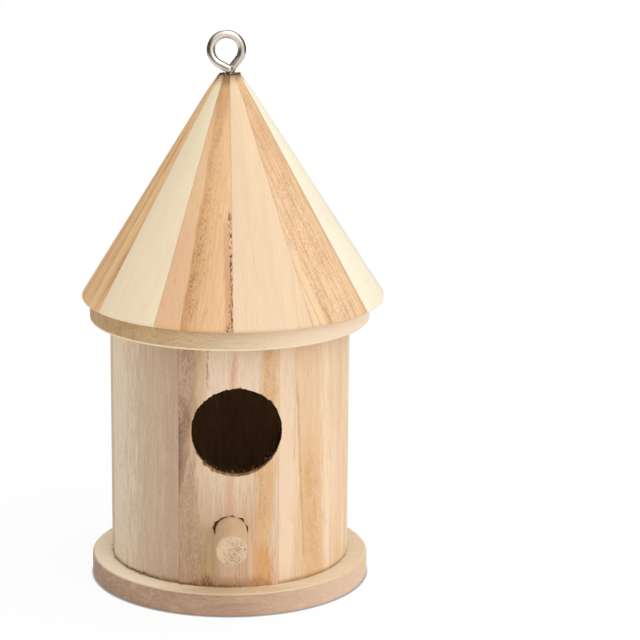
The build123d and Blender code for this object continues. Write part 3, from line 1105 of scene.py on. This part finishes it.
perch_lay = lay(UP * perch_height, perch_axis, UP)
perch_tones = Tones("#CDB088", "#D9BF98", "#A98A62", "#D2AE8A")
perch_end_tones = Tones("#EBCEA8", "#F2DABA", "#9C7A52", "#E8C0A2")
perch_wood = wood("birch dowel", perch_lay, perch_tones, band=3.5, lines=0.2, pores=0.1, seed=9.0)
perch_end_wood = wood(
    "birch end grain", perch_lay, perch_end_tones, band=1.6, rings=0.3, pores=0.35, relief=0.5, seed=9.5,
    streaks=(Streak("#866442", -9.0, 1.0, -WIDE, WIDE, 4.0, 1.0, 0.6, 1.0, 0.55, 0.56),),
)
perch_piece = dowel()
print("perch:", len(perch_piece.data.polygons), "faces")

# %% [markdown]
# ## Roof wedges
# Twelve wedges of pale and brown wood were glued into a cone and turned smooth. The section of one wedge
# runs from the eave up to the little flat at the tip, and down inside again past the bore for the screw
# eye. The same tree that made the staves carries it through a twelfth of a turn. The cone was turned a
# little off its middle, so its eave sits to the right of the body, and its tip is worn down. Some marks
# run on from wedge to wedge: the dark one round the hole for the eye, and a softer brown one under it.

# %% The twelve wedges
EAVE_LAND = 0.9 * MM
EAVE_EASE = 0.4 * MM
EAVE_SHIFT = 1.1 * MM
TIP_SHIFT = -0.15 * MM
TIP_WEAR = 0.6 * MM
TIP_WEAR_RUN = 9.0 * MM
GRAIN_LEAN = {"roof_segment_02": 8.0}
eave_top = roof_bottom + EAVE_LAND
roof_slope = (roof_radius - tip_radius) / (tip_top - eave_top)
bore_bottom = roof_bottom + (roof_inner_radius - bore_radius) / roof_slope
eave_inside, eave_low = flat(roof_inner_radius, roof_bottom), flat(roof_radius, roof_bottom)
eave_high, tip_outside = flat(roof_radius, eave_top), flat(tip_radius, tip_top)
wedge_section = [
    eave_inside,
    *eased(eave_low, eave_inside, eave_high, EAVE_EASE),
    *eased(eave_high, eave_low, tip_outside, EAVE_EASE),
    tip_outside,
    flat(bore_radius, tip_top),
    flat(bore_radius, bore_bottom),
]


def wedge_lay(node):
    """Grain of a wedge: millimetres up the slope from the eave, on a line that may lean off its middle."""
    start, sweep = slice_of(node)
    middle = start + sweep / 2
    leaning = middle + math.radians(GRAIN_LEAN.get(node, 0.0))
    along = UP - outward(leaning) * roof_slope
    return lay(outward(middle) * roof_radius + UP * eave_top, along, outward(leaning) + UP * roof_slope)


cream = Tones("#F6E2BE", "#F8EACD", "#E6D0A8", "#F6DEC1")
white = Tones("#F2E9CF", "#F5EED8", "#E8DABA", "#F2E4CC")
tan = Tones("#E9CDA8", "#EED7B6", "#D8B48A", "#ECCAAE")
brown = Tones("#EABB89", "#F0C99C", "#C08C5A", "#EBB78E")
pink = Tones("#EFCA9E", "#F3D5B0", "#C49260", "#F2C8A4")
honey = Tones("#F5C68E", "#F8D09C", "#C28C54", "#F4C090")
TIP_MARKS = {
    "roof_segment_01": (85.2, 86.4),
    "roof_segment_06": (85.6, 85.8),
    "roof_segment_10": (84.4, 85.8),
    "roof_segment_11": (84.4, 86.2),
    "roof_segment_12": (83.6, 85.2),
}
TIP_MARK = (85.6, 86.4)


def tip_stains(node):
    """The dark mark round the screw eye's hole, over a softer brown one. Both are lower on some wedges."""
    brown_from, dark_from = TIP_MARKS.get(node, TIP_MARK)
    return (
        Streak("#8A5E34", -9.0, 9.0, brown_from, WIDE, 1.0, 3.6, 0.55, 0.5, 0.8),
        Streak("#64441F", -9.0, 9.0, dark_from, WIDE, 1.0, 3.6, 0.95, 0.3, 0.8),
    )


LINES_LOW = (-12.0, -9.6, -5.2, -2.2, 1.4, 3.4, 6.4, 8.6, 10.8)
LINES_HIGH = (-6.0, -5.0, -1.8, -0.4, 1.4, 2.2, 3.4, 4.3, 5.6)


def fine_line(low, high):
    """A narrow brown line up a wedge, from a place across its eave to one across its top."""
    return Streak("#A8703E", (low, high), (low + 0.6, high + 0.5), -2.0, 84.0, 0.7, 6.0, 0.34, 0.6, 0.6, 0.5)


wedge_streaks = {
    "roof_segment_01": (Streak("#DDB98C", (9.0, 9.6), (9.6, 10.2), -2.0, 22.0, 0.5, 6.0, 0.5, 0.3),),
    "roof_segment_02": (
        Streak("#EDCFA8", (-15.0, -12.0), (-6.8, -3.0), -2.0, 60.0, 3.0, 2.0, 0.6),
        Streak("#A8703E", (-6.8, -6.0), (9.0, 6.0), -2.0, 84.0, 3.0, 6.0, 0.34, 1.0, 0.3, 0.56),
        Streak("#A46A3C", (-6.8, -3.4), (-4.4, -1.6), -2.0, 84.0, 1.6, 6.0, 0.28, 1.0, 0.34, 0.52),
        Streak("#9A8058", (12.2, 6.8), (13.8, 8.4), -2.0, 84.0, 0.8, 4.0, 0.4, 0.3),
        Streak("#D09E6E", (-9.0, -6.0), (9.0, 6.0), 56.0, 99.0, 2.0, 24.0, 0.35),
        *map(fine_line, LINES_LOW, LINES_HIGH),
    ),
    "roof_segment_10": (
        Streak("#AC7C4C", (9.4, 5.4), (15.0, 9.0), 8.0, 84.0, 2.4, 16.0, 0.6, 0.3, 0.6),
        Streak("#A87648", (3.2, 1.0), (4.8, 2.1), 4.0, 66.0, 1.2, 12.0, 0.55, 0.3, 0.6),
        Streak("#B98A58", (-6.4, -3.2), (-4.2, -2.0), -2.0, 60.0, 1.4, 10.0, 0.45, 0.3, 0.6),
        Streak("#F2D2A4", (4.0, 2.0), (8.6, 5.0), -2.0, 50.0, 2.0, 20.0, 0.4, 0.5, 0.6),
    ),
    "roof_segment_12": (
        Streak("#E6BA91", (-15.0, -6.0), (-3.0, -1.5), -2.0, 62.0, 0.4, 8.0, 0.85),
        *[
            Streak("#C48E58", (-3.0, -1.6), (right, right * 0.6), -2.0, 80.0, 0.8, 4.0, 0.22, 0.3)
            for right in (-1.8, -0.6, 0.8, 2.4)
        ],
        Streak("#8A4E24", (-2.8, -1.5), 0.8, 1.0, 74.0, 1.6, 10.0, 0.55, 1.0, 0.3, 0.55),
        Streak("#A0683A", (-1.0, 0.0), (5.0, 3.0), 2.0, 60.0, 3.0, 10.0, 0.5, 1.0, 0.32, 0.63),
        Streak("#C9906A", (12.2, 6.0), (15.0, 7.8), -2.0, 36.0, 0.9, 8.0, 0.6, 0.2),
        Streak("#3E2212", (12.5, 6.9), (15.0, 7.9), 8.0, 40.0, 0.3, 3.0, 0.9, 1.0, 0.45, 0.52),
        Streak("#3E2212", (11.9, 11.6), (15.0, 13.0), -2.0, 11.0, 0.3, 3.0, 0.9, 1.0, 0.45, 0.57),
        Streak("#F8CE9A", (-8.0, -4.0), (9.0, 5.0), 36.0, 74.0, 2.0, 24.0, 0.25),
        Streak("#B08050", -9.0, 9.0, 74.0, 99.0, 1.0, 16.0, 0.4),
    ),
}
wedge_tones = {"roof_cream_wood": cream, "roof_tan_wood": tan, "roof_brown_wood": brown}
special_tones = {
    "roof_segment_02": pink,
    "roof_segment_03": white,
    "roof_segment_05": pink,
    "roof_segment_06": white,
    "roof_segment_10": honey,
}
slots = {part["node"]: part["material_slot"] for part in frame["record"]["subparts"]}
wedge_woods = {}
for number, node in enumerate(WEDGES):
    dense = slots[node] == "roof_brown_wood"
    tones = special_tones.get(node, wedge_tones[slots[node]])
    look = dict(bands=0.5, lines=0.25, pores=0.2) if dense else dict(bands=0.35, lines=0.12, pores=0.05)
    wedge_woods[node] = wood(
        ("toon, " if dense else "basswood, ") + node, wedge_lay(node), tones, band=3.0, depth=0.15,
        streaks=(*wedge_streaks.get(node, ()), *tip_stains(node)), seed=20.0 + number, **look,
    )


def lean_roof(piece):
    """Moves the cone's outside a little across, as if turned off its middle, and wears its tip down."""
    for vertex in piece.data.vertices:
        spot = vertex.co
        rise = (spot.z - roof_bottom) / (tip_top - roof_bottom)
        outside = min(1.0, (reach(spot) - bore_radius) / (tip_radius - bore_radius))
        worn = max(0.0, 1.0 - (tip_top - spot.z) / TIP_WEAR_RUN) ** 2
        spot -= outward(azimuth(spot)) * TIP_WEAR * worn * outside
        spot.x += (EAVE_SHIFT + (TIP_SHIFT - EAVE_SHIFT) * rise) * outside


wedge_pieces = {}
for node in WEDGES:
    wedge_pieces[node] = glued(node, wedge_section, wedge_woods[node])
    lean_roof(wedge_pieces[node])
print("wedges:", len(wedge_pieces))

# %% [markdown]
# ## Torn fibres
# Where a tool came out of the wood it left fibres standing: brown ones round the hole at the tip, pale
# ones on the floor of the entrance, dark ones along the foot on the left. They repeat along a path, so a
# tree plants them. Each is a thin cone, leaning its own way, and its foot is sunk into the wood.

# %% The torn fibre tree


def torn_fibre_tree():
    """Plants thin splinters along a path. They lean the given way and away from the upright axis."""
    tree, given = new_tree(
        "torn fibres",
        "GeometryNodeTree",
        [
            ("Path", "Geometry"),
            ("Count", "Int", 10),
            *sockets("Float", "Length", "Thickness"),
            ("Lean", "Vector"),
            *sockets("Float", "Away", "Scatter", "Stray"),
            ("Seed", "Int"),
            ("Material", "Material"),
        ],
        [("Fibres", "Geometry")],
    )
    path = add(tree, "GeometryNodeMeshToCurve", {"Mesh": given["Path"]})
    points = add(tree, "GeometryNodeCurveToPoints", {"Curve": path, "Count": given["Count"]})

    def loose(seed, size):
        """A random way off for each fibre, up to a size."""
        span = {0: (-1.0, -1.0, -1.0), 1: (1.0, 1.0, 1.0), "Seed": seed}
        return scaled(tree, add(tree, "FunctionNodeRandomValue", span, data_type="FLOAT_VECTOR"), size)

    moved = loose(given["Seed"], given["Stray"])
    points = add(tree, "GeometryNodeSetPosition", {"Geometry": points, "Offset": moved})
    place = add(tree, "GeometryNodeInputPosition")
    level = vector_calc(tree, "NORMALIZE", vector_calc(tree, "MULTIPLY", place, (1.0, 1.0, 0.0)))
    later = calc(tree, "ADD", given["Seed"], 1.0)
    way = vector_calc(tree, "ADD", given["Lean"], scaled(tree, level, given["Away"]))
    way = vector_calc(tree, "ADD", way, loose(later, given["Scatter"]))
    turn = add(tree, "FunctionNodeAlignRotationToVector", {"Vector": way}, axis="Z")
    size = add(tree, "FunctionNodeRandomValue", {2: 0.4, 3: 1.2, "Seed": later}, out=1)
    feeds = {"Vertices": 5, "Radius Bottom": given["Thickness"], "Depth": given["Length"]}
    fibre = add(tree, "GeometryNodeMeshCone", feeds)
    feeds = {"Points": points, "Instance": fibre, "Rotation": turn, "Scale": size}
    fibres = add(tree, "GeometryNodeInstanceOnPoints", feeds)
    return finish_tree(tree, fibres, given, "Fibres")


TORN_FIBRES = torn_fibre_tree()
print("torn fibre tree:", len(TORN_FIBRES.nodes), "nodes")

# %% Fibres at the tip, the entrance and the foot
PATH_STEPS = 24
FLOOR_FROM, FLOOR_SWEEP = 222, 100

torn_lay = lay(Vector(), UP, FRONT)
brown_tones = Tones("#8A683E", "#A58256", "#5C4022", "#805C34")
pale_tones = Tones("#A88860", "#BC9C74", "#80603C", "#A07E58")
dark_tones = Tones("#9A744A", "#B89468", "#5E4028", "#8A6440")
brown_fibre = wood("basswood, torn brown", torn_lay, brown_tones, seed=30.0)
pale_fibre = wood("paulownia, torn pale", torn_lay, pale_tones, seed=31.0)
dark_fibre = wood("paulownia, torn dark", torn_lay, dark_tones, seed=32.0)


def ring_part(radius, height, start, sweep):
    """Points along a part of a level ring round the house."""
    turns = [start + sweep * place / PATH_STEPS for place in range(PATH_STEPS + 1)]
    return [outward(turn) * radius + UP * height for turn in turns]


def entrance_floor(depth):
    """Points along the floor of the entrance, at a depth below the round outside of the tube."""
    points = []
    for place in range(PATH_STEPS + 1):
        turn = math.radians(FLOOR_FROM + FLOOR_SWEEP * place / PATH_STEPS)
        across, rise = entrance_radius * math.cos(turn), entrance_radius * math.sin(turn)
        out = math.sqrt((body_radius - depth) ** 2 - across ** 2)
        points.append(Vector((across, -out, entrance_height + rise)))
    return points


def plant(piece, points, material, **values):
    """Plants torn fibres along the points and joins them to the piece."""
    mesh = chain(piece.name + "_fibre_path", points, False)
    join(piece, run_tree(piece.name + "_fibres", TORN_FIBRES, mesh, material=material, **values))


for number, node in enumerate(WEDGES):
    points = ring_part(tip_radius - 1.2 * MM, tip_top - 0.3 * MM, *slice_of(node))
    plant(
        wedge_pieces[node], points, brown_fibre, count=4, length=0.7 * MM, thickness=0.6 * MM,
        lean=(0.0, 0.0, 0.7), away=0.3, scatter=1.0, stray=0.4 * MM, seed=number,
    )
plant(
    stave_pieces["front_stave"], entrance_floor(1.8 * MM), pale_fibre, count=60, length=0.8 * MM,
    thickness=0.14 * MM, lean=(0.0, -0.8, 1.0), away=0.0, scatter=0.9, stray=1.2 * MM, seed=40,
)
for number, node in enumerate(("left_stave", "left_front_stave", "front_stave")):
    start, sweep = slice_of(node)
    points = ring_part(body_radius - 0.3 * MM, base_top + 0.4 * MM, start, sweep * 0.8)
    plant(
        stave_pieces[node], points, dark_fibre, count=34, length=1.1 * MM, thickness=0.22 * MM,
        lean=(0.0, 0.0, -0.1), away=0.9, scatter=0.8, stray=0.25 * MM, seed=50 + number,
    )
print("torn fibres planted")

# %% [markdown]
# ## Screw eye
# One length of wire makes the eye: a pointed shank, a bend out to the right, round the loop and back,
# until its cut end stops in front of the neck. A curve with a round profile is the plain way to make
# wire. Here the path is a chain of points from two straight runs and an arc, and a tree thickens it, with
# a point at one end and a rounded cut at the other.

# %% The screw eye
WIRE_RADIUS = 1.35 * MM
LOOP_RADIUS = 5.1 * MM
LOOP_OFFSET = 1.2 * MM
LOOP_LEAN = math.radians(37)
LOOP_CLOSE = math.radians(58)
SHANK_LENGTH = 13.0 * MM
POINT_LENGTH = 3.0 * MM
NECK_BEND = 3.0 * MM
NECK_RISE = 0.1 * MM
END_FORWARD = 2.4 * MM
END_FROM = 0.6
END_SPOT = Vector((0.5, -2.4, 172.6)) * MM
CUT_ROUND = 0.6 * MM
LOOP_STEPS = 72
WIRE_STEP = 0.4 * MM


def wire_path():
    """Points of the wire: from its point up the neck, round the loop and back in front of the neck."""
    neck = tip_top + NECK_RISE + NECK_BEND * math.tan(LOOP_LEAN / 2)
    rise = (LOOP_RADIUS * math.cos(LOOP_LEAN) - LOOP_OFFSET) / math.tan(LOOP_LEAN)
    centre = Vector((-LOOP_OFFSET, 0.0, neck + LOOP_RADIUS * math.sin(LOOP_LEAN) + rise))
    foot, bend = UP * (tip_top - SHANK_LENGTH), UP * neck
    loop = []
    sweep = math.pi + LOOP_LEAN + LOOP_CLOSE
    for place in range(LOOP_STEPS + 1):
        angle = -LOOP_LEAN + sweep * place / LOOP_STEPS
        forward = END_FORWARD * max(0.0, place / LOOP_STEPS - END_FROM) ** 2 * 3.0
        loop.append(centre + Vector((math.cos(angle), 0.0, math.sin(angle))) * LOOP_RADIUS + FRONT * forward)
    path = [foot, *eased(bend, foot, loop[0], NECK_BEND, count=8), *loop, END_SPOT]
    return spaced(path, WIRE_STEP, False)


def wire_tree():
    """Thickens a path into wire, pointed at its start and rounded at its end."""
    tree, given = new_tree(
        "bent wire",
        "GeometryNodeTree",
        [("Path", "Geometry"), *sockets("Float", "Radius", "Point", "Cut"), ("Material", "Material")],
        [("Wire", "Geometry")],
    )
    path = add(tree, "GeometryNodeMeshToCurve", {"Mesh": given["Path"]})
    run = add(tree, "GeometryNodeSplineParameter", out="Length")
    whole = add(tree, "GeometryNodeSplineLength")
    left = calc(tree, "SUBTRACT", whole, run)
    sharp = add(tree, "ShaderNodeMapRange", {"Value": run, 1: 0.0, 2: given["Point"], 3: 0.05})
    blunt = add(tree, "ShaderNodeMapRange", {"Value": left, 1: 0.0, 2: given["Cut"], 3: 0.2})
    share = calc(tree, "MINIMUM", sharp, calc(tree, "POWER", blunt, 0.5))
    profile = add(tree, "GeometryNodeCurvePrimitiveCircle", {"Resolution": 28, "Radius": given["Radius"]})
    feeds = {"Curve": path, "Profile Curve": profile, "Scale": share, "Fill Caps": True}
    wire = add(tree, "GeometryNodeCurveToMesh", feeds)
    return finish_tree(tree, wire, given, "Wire")


wire_mesh = chain("wire_path", wire_path(), False)
wire_values = {"radius": WIRE_RADIUS, "point": POINT_LENGTH, "cut": CUT_ROUND, "material": NICKEL}
eye_piece = run_tree("bent_screw_eye", wire_tree(), wire_mesh, **wire_values)
print("screw eye:", len(eye_piece.data.polygons), "faces")

# %% [markdown]
# ## Floor, light and camera
# The house stands on a plain white floor under one broad soft lamp from the front right, with an even
# pale surround. The floor stays under the base board, so a released base lies on it and the house is seen
# lifted off. It is open under the board and clear from below, so the underside shows. Two dark cards,
# which only mirrors see, stand at the sides: they give the bright wire its dark edges. The camera stands
# where the photograph was taken from: above the house, a little to its left, with a long lens.

# %% The floor
FLOOR_SIZE = 8.0
CONTACT_SHADOW_REACH = 0.9 * MM
SHADOW_SHARE = 0.08
FLOOR_STEPS = 96


def floor():
    """A round white floor with a touch of shadow and a thin painted contact shadow, clear from below."""
    mesh = bpy.data.meshes.new("floor")
    count = FLOOR_STEPS
    turns = [2 * math.pi * place / count for place in range(count)]
    radii = (base_radius - BOARD_EASE, FLOOR_SIZE / 2)
    spots = [tuple(outward(turn) * radius) for radius in radii for turn in turns]
    quads = []
    for place in range(count):
        after = (place + 1) % count
        quads.append((count + place, count + after, after, place))
    mesh.from_pydata(spots, [], quads)
    material, tree = new_material("white paper")
    paper = add(tree, "ShaderNodeBsdfDiffuse", {"Color": linear("#F8F8F8")})
    # Painted contact shadow: an occlusion node darkens the white sheet in a thin line where the base stands
    # close.
    near = add(tree, "ShaderNodeAmbientOcclusion", {"Distance": CONTACT_SHADOW_REACH}, out="AO")
    clear = add(tree, "ShaderNodeMapRange", {"Value": near, 1: 0.5, 2: 1.0})
    tint = blend(tree, clear, linear("#969CA2"), linear("#FFFFFF"))
    sheet = add(tree, "ShaderNodeEmission", {"Color": tint})
    white_sheet = add(tree, "ShaderNodeMixShader", {0: SHADOW_SHARE, 1: sheet, 2: paper})
    seen = add(tree, "ShaderNodeLightPath", out="Is Camera Ray")
    surface = add(tree, "ShaderNodeMixShader", {0: seen, 1: paper, 2: white_sheet})
    below = add(tree, "ShaderNodeNewGeometry", out="Backfacing")
    nothing = add(tree, "ShaderNodeBsdfTransparent")
    surface = add(tree, "ShaderNodeMixShader", {0: below, 1: surface, 2: nothing})
    add(tree, "ShaderNodeOutputMaterial", {"Surface": surface})
    mesh.materials.append(material)
    return new_object("floor", mesh)


floor_piece = floor()
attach(floor_piece, "base")
print("floor:", FLOOR_SIZE, "m across")

# %% Light
KEY_AZIMUTH = math.radians(52)
KEY_HEIGHT = math.radians(50)
KEY_STRENGTH = 1.45
KEY_SPREAD = math.radians(80)
SURROUND = 0.7
FLAG_REACH = 0.5
FLAG_STEPS = 12
FLAG_FOOT = 0.02

lamp = bpy.data.lights.new("key", "SUN")
lamp.energy = KEY_STRENGTH
lamp.angle = KEY_SPREAD
lamp_object = new_object("key", lamp)
from_lamp = -(outward(KEY_AZIMUTH) * math.cos(KEY_HEIGHT) + UP * math.sin(KEY_HEIGHT))
lamp_object.rotation_euler = from_lamp.to_track_quat("-Z", "Y").to_euler()


def flag(name, start, finish, start_high, finish_high):
    """A dark curved card between two azimuths in degrees, with a top that slopes between two heights."""
    mesh = bpy.data.meshes.new(name)
    spots = []
    for place in range(FLAG_STEPS + 1):
        share = place / FLAG_STEPS
        foot = outward(math.radians(start + (finish - start) * share)) * FLAG_REACH
        spots += [foot + UP * FLAG_FOOT, foot + UP * (start_high + (finish_high - start_high) * share)]
    quads = [(2 * place, 2 * place + 2, 2 * place + 3, 2 * place + 1) for place in range(FLAG_STEPS)]
    mesh.from_pydata([tuple(spot) for spot in spots], [], quads)
    material, tree = new_material("black card")
    surface = add(tree, "ShaderNodeBsdfDiffuse", {"Color": linear("#4E443C")})
    add(tree, "ShaderNodeOutputMaterial", {"Surface": surface})
    mesh.materials.append(material)
    card = new_object(name, mesh)
    for kind in ("camera", "diffuse", "transmission", "volume_scatter", "shadow"):
        setattr(card, "visible_" + kind, False)


flag("left_flag", -172, -10, 1.2, 0.2)
flag("right_flag", 62, 176, 0.6, 0.9)

world = bpy.data.worlds.new("pale surround")
bpy.context.scene.world = world
world.use_nodes = True
sky = world.node_tree
sky.nodes.clear()
ray = sky.nodes.new("ShaderNodeLightPath").outputs
seen = calc(sky, "MAXIMUM", ray["Is Camera Ray"], ray["Is Glossy Ray"])
seen = calc(sky, "MAXIMUM", seen, ray["Is Transmission Ray"])
level = add(sky, "ShaderNodeMapRange", {"Value": seen, 3: SURROUND, 4: 1.0})
glow = add(sky, "ShaderNodeBackground", {"Color": linear("#FFFFFF"), "Strength": level})
add(sky, "ShaderNodeOutputWorld", {"Surface": glow})
bpy.context.scene.view_settings.view_transform = "Standard"
print("light: one lamp and a pale surround")

# %% The camera
SENSOR = 36.0
LENS = 148.476
CAMERA_SPOT = Vector((-49.84, -855.73, 305.80)) * MM
CAMERA_YAW = math.radians(5.348)
CAMERA_PITCH = math.radians(14.242)
CAMERA_ROLL = math.radians(0.516)

camera = bpy.data.cameras.new("camera")
camera.sensor_width = SENSOR
camera.lens = LENS
camera.clip_start = 0.05
camera_object = new_object("camera", camera)
looking = -outward(-CAMERA_YAW) * math.cos(CAMERA_PITCH) - UP * math.sin(CAMERA_PITCH)
turn = looking.to_track_quat("-Z", "Y").to_matrix() @ Matrix.Rotation(CAMERA_ROLL, 3, "Z")
camera_object.matrix_world = Matrix.Translation(CAMERA_SPOT) @ turn.to_4x4()
bpy.context.scene.camera = camera_object
print("camera at", [round(value, 3) for value in CAMERA_SPOT])

# %% [markdown]
# ## Pieces onto bodies
# Each new piece rides on the body of the imported piece that it replaces, which is hidden. The imported
# screws and brads keep their shapes, and their slots take the zinc plate.

# %% Ride, replace and finish
bodies = {node: body for body, nodes in frame["record"]["behaviour"]["bodies"].items() for node in nodes}
dressed = dict(base_board=base_piece, ceiling_board=ceiling_piece, perch=perch_piece, screw_eye=eye_piece)
dressed.update(stave_pieces)
dressed.update(wedge_pieces)
for node, piece in dressed.items():
    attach(piece, bodies[node])
    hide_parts(node)
for node in ("base_screws", "ceiling_brads"):
    for packed_slot in frame["nodes"][node].material_slots:
        packed_slot.material = ZINC
